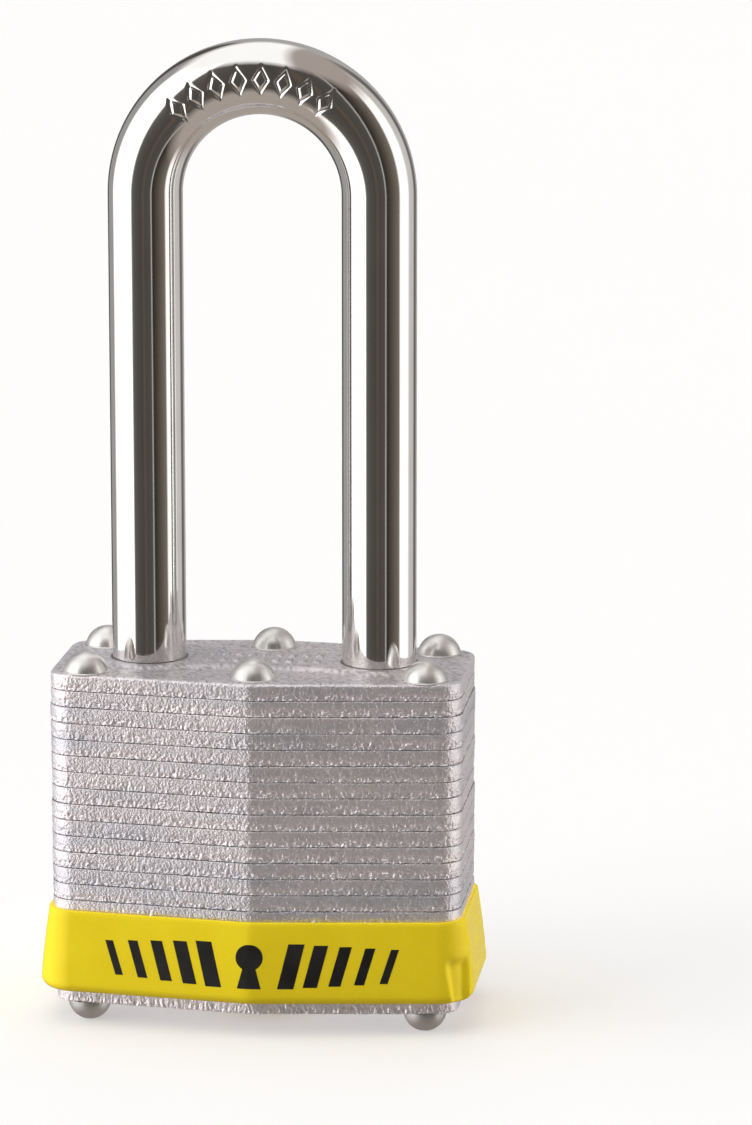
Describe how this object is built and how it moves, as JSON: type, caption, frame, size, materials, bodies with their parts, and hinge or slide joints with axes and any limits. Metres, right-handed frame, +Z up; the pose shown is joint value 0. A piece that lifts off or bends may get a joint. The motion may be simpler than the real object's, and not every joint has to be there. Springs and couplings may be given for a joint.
{
  "type": "padlock",
  "caption": "Laminated steel padlock with a long shackle, a moulded bumper round its base and a pin-tumbler cylinder that draws locking levers out of both shackle legs.",
  "frame": {"origin": "under the middle of the body, level with the flats of the lower rivet heads that it stands on", "axes": "+Z up along the shackle legs, +X across the legs towards the toe leg, -Y to the front face"},
  "size_m": [0.0422, 0.0226, 0.0946],
  "materials": {
    "plate_steel": "zinc plated, sheared edges",
    "rivet_steel": "plated, peened heads",
    "shackle_chrome": "polished plating",
    "bumper_plastic": "semi-gloss moulded, with a black printed mark",
    "spring_steel": "drawn wire",
    "lever_steel": "stamped, tumbled",
    "cylinder_brass": "machined"
  },
  "bodies": {
    "lock_body": {"plate_01": "plate_steel", "plate_02": "plate_steel", "plate_03": "plate_steel", "plate_04": "plate_steel", "plate_05": "plate_steel", "plate_06": "plate_steel", "plate_07": "plate_steel", "plate_08": "plate_steel", "plate_09": "plate_steel", "plate_10": "plate_steel", "plate_11": "plate_steel", "plate_12": "plate_steel", "plate_13": "plate_steel", "plate_14": "plate_steel", "plate_15": "plate_steel", "plate_16": "plate_steel", "plate_17": "plate_steel", "plate_18": "plate_steel", "plate_19": "plate_steel", "plate_20": "plate_steel", "corner_rivets": "rivet_steel", "mid_rivets": "rivet_steel", "bumper": "bumper_plastic", "cylinder_shell": "cylinder_brass", "spring_cover": "cylinder_brass", "driver_pins": "cylinder_brass", "pin_springs": "spring_steel", "shackle_spring": "spring_steel", "toe_lever_spring": "spring_steel", "heel_lever_spring": "spring_steel"},
    "shackle": {"shackle": "shackle_chrome"},
    "plug": {"plug": "cylinder_brass", "cam": "lever_steel", "plug_clip": "spring_steel", "key_pin_1": "cylinder_brass", "key_pin_2": "cylinder_brass", "key_pin_3": "cylinder_brass", "key_pin_4": "cylinder_brass"},
    "toe_lever": {"toe_lever": "lever_steel"},
    "heel_lever": {"heel_lever": "lever_steel"}
  },
  "joints": [
    {"name": "shackle_lift", "type": "slide", "parent": "lock_body", "child": "shackle", "axis": [0, 0, 1], "range_m": [0, 0.0129], "deforming": ["shackle_spring"]},
    {"name": "plug_turn", "type": "hinge", "parent": "lock_body", "child": "plug", "pos_m": [0, 0, 0.0127], "axis": [0, 0, 1], "range_deg": [-90, 0]},
    {"name": "toe_lever_slide", "type": "slide", "parent": "lock_body", "child": "toe_lever", "axis": [1, 0, 0], "range_m": [0, 0.0014], "deforming": ["toe_lever_spring"]},
    {"name": "heel_lever_slide", "type": "slide", "parent": "lock_body", "child": "heel_lever", "axis": [-1, 0, 0], "range_m": [0, 0.0014], "deforming": ["heel_lever_spring"]}
  ],
  "couplings": [
    {"joint": "toe_lever_slide", "follows": "plug_turn", "m_per_rad": -0.00089},
    {"joint": "heel_lever_slide", "follows": "plug_turn", "m_per_rad": -0.00089}
  ]
}
